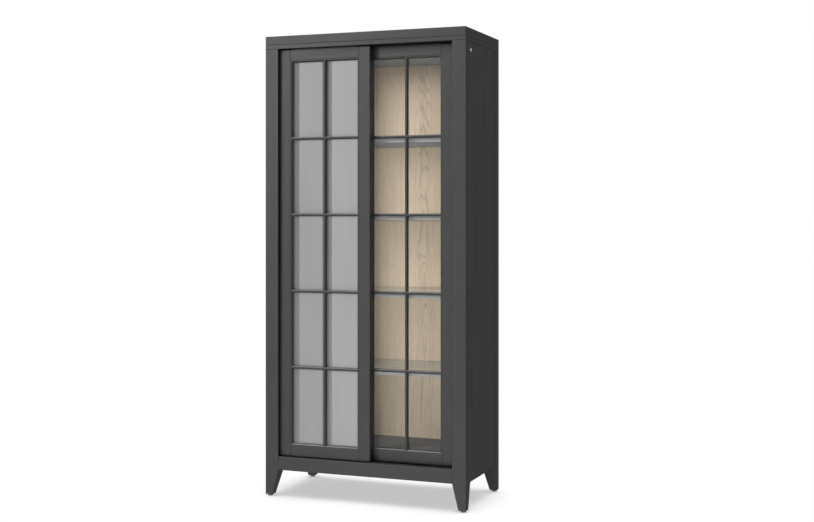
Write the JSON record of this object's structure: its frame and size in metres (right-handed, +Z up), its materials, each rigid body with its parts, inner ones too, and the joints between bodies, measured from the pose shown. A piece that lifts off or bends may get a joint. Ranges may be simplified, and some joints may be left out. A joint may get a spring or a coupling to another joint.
{
  "type": "display cabinet",
  "caption": "Tall free-standing display cabinet on tapered legs, with sliding glazed lattice doors, glass shelves and an oak back.",
  "frame": {"origin": "on the floor, in the middle of the cabinet's footprint", "axes": "+Z up, the front faces -Y, +X is to the viewer's right as the viewer faces the doors"},
  "size_m": [0.92, 0.46, 2],
  "materials": {
    "charcoal_paint": "satin paint on open-grained timber",
    "natural_oak": "matt natural oak veneer",
    "pale_glass": "pale grey, slightly hazy",
    "clear_glass": "clear polished",
    "grey_steel": "satin grey",
    "track_aluminium": "anodised",
    "switch_chrome": "polished",
    "black_plastic": "matt moulded",
    "light_lens": "opal, unlit"
  },
  "bodies": {
    "carcass": {"apron_back": "charcoal_paint", "apron_front": "charcoal_paint", "back_panel": "natural_oak", "base_board": "charcoal_paint", "ceiling_board": "charcoal_paint", "floor_board": "charcoal_paint", "glide_back_left": "black_plastic", "glide_back_right": "black_plastic", "glide_front_left": "black_plastic", "glide_front_right": "black_plastic", "light_fitting_left": "grey_steel", "light_fitting_right": "grey_steel", "light_lens_left": "light_lens", "light_lens_right": "light_lens", "lower_track": "track_aluminium", "post_back_left": "charcoal_paint", "post_back_right": "charcoal_paint", "post_front_left": "charcoal_paint", "post_front_right": "charcoal_paint", "shelf_frame_1": "grey_steel", "shelf_frame_2": "grey_steel", "shelf_frame_3": "grey_steel", "shelf_frame_4": "grey_steel", "shelf_glass_1": "clear_glass", "shelf_glass_2": "clear_glass", "shelf_glass_3": "clear_glass", "shelf_glass_4": "clear_glass", "side_lining_left": "charcoal_paint", "side_lining_right": "charcoal_paint", "side_panel_left": "charcoal_paint", "side_panel_right": "charcoal_paint", "side_rail_left": "charcoal_paint", "side_rail_right": "charcoal_paint", "switch_bezel": "switch_chrome", "top_board": "charcoal_paint", "top_under_board": "charcoal_paint", "upper_track": "track_aluminium"},
    "left_door": {"left_door_bottom_rail": "charcoal_paint", "left_door_glass": "pale_glass", "left_door_lattice": "charcoal_paint", "left_door_meeting_stile": "charcoal_paint", "left_door_meeting_wheel_housing": "grey_steel", "left_door_outer_stile": "charcoal_paint", "left_door_outer_wheel_housing": "grey_steel", "left_door_top_guide": "black_plastic", "left_door_top_rail": "charcoal_paint"},
    "right_door": {"right_door_bottom_rail": "charcoal_paint", "right_door_glass": "clear_glass", "right_door_lattice": "charcoal_paint", "right_door_meeting_stile": "charcoal_paint", "right_door_meeting_wheel_housing": "grey_steel", "right_door_outer_stile": "charcoal_paint", "right_door_outer_wheel_housing": "grey_steel", "right_door_top_guide": "black_plastic", "right_door_top_rail": "charcoal_paint"},
    "left_door_outer_wheel": {"left_door_outer_wheel": "black_plastic"},
    "left_door_meeting_wheel": {"left_door_meeting_wheel": "black_plastic"},
    "right_door_outer_wheel": {"right_door_outer_wheel": "black_plastic"},
    "right_door_meeting_wheel": {"right_door_meeting_wheel": "black_plastic"},
    "switch_button": {"switch_button": "black_plastic"}
  },
  "joints": [
    {"name": "left_door_slide", "type": "slide", "parent": "carcass", "child": "left_door", "axis": [1, 0, 0], "range_m": [0, 0.385]},
    {"name": "right_door_slide", "type": "slide", "parent": "carcass", "child": "right_door", "axis": [-1, 0, 0], "range_m": [0, 0.3615]},
    {"name": "switch_press", "type": "slide", "parent": "carcass", "child": "switch_button", "axis": [-1, 0, 0], "range_m": [0, 0.0015], "stiffness_N_per_m": 1000},
    {"name": "left_door_outer_wheel_spin", "type": "hinge", "parent": "left_door", "child": "left_door_outer_wheel", "pos_m": [-0.3192, -0.199, 0.1858], "axis": [0, 1, 0], "continuous": true},
    {"name": "left_door_meeting_wheel_spin", "type": "hinge", "parent": "left_door", "child": "left_door_meeting_wheel", "pos_m": [-0.0558, -0.199, 0.1858], "axis": [0, 1, 0], "continuous": true},
    {"name": "right_door_meeting_wheel_spin", "type": "hinge", "parent": "right_door", "child": "right_door_meeting_wheel", "pos_m": [0.0433, -0.162, 0.1858], "axis": [0, -1, 0], "continuous": true},
    {"name": "right_door_outer_wheel_spin", "type": "hinge", "parent": "right_door", "child": "right_door_outer_wheel", "pos_m": [0.3067, -0.162, 0.1858], "axis": [0, -1, 0], "continuous": true}
  ],
  "couplings": [
    {"joint": "left_door_outer_wheel_spin", "follows": "left_door_slide", "rad_per_m": 100},
    {"joint": "left_door_meeting_wheel_spin", "follows": "left_door_slide", "rad_per_m": 100},
    {"joint": "right_door_meeting_wheel_spin", "follows": "right_door_slide", "rad_per_m": 100},
    {"joint": "right_door_outer_wheel_spin", "follows": "right_door_slide", "rad_per_m": 100}
  ]
}
